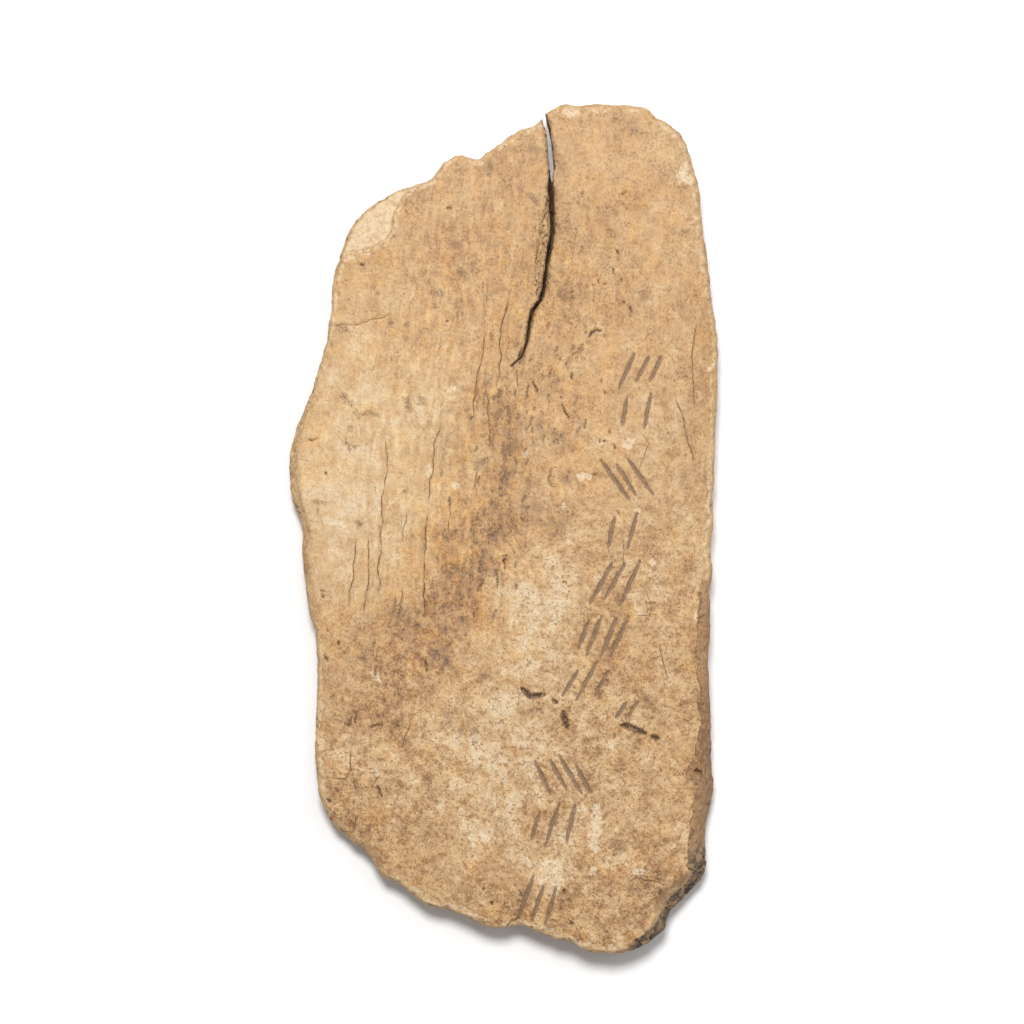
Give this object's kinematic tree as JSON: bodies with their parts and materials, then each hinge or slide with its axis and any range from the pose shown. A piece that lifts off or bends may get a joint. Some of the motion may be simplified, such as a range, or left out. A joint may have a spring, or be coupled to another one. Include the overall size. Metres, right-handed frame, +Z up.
{
  "type": "oracle bone",
  "caption": "Flat fragment of ox shoulder blade with a cracked, carved face, broken edges and divination hollows in its ground-flat back, lying face up.",
  "frame": {"origin": "on the plane of the ground-flat back, under the middle of the fragment's outline", "axes": "+Z up out of the carved face; +Y along the fragment towards the end that the great crack splits; +X across it towards the thick margin"},
  "size_m": [0.0809, 0.1599, 0.0095],
  "materials": {
    "old_bone": "matte"
  },
  "bodies": {
    "root": {"bone": "old_bone"}
  },
  "joints": []
}
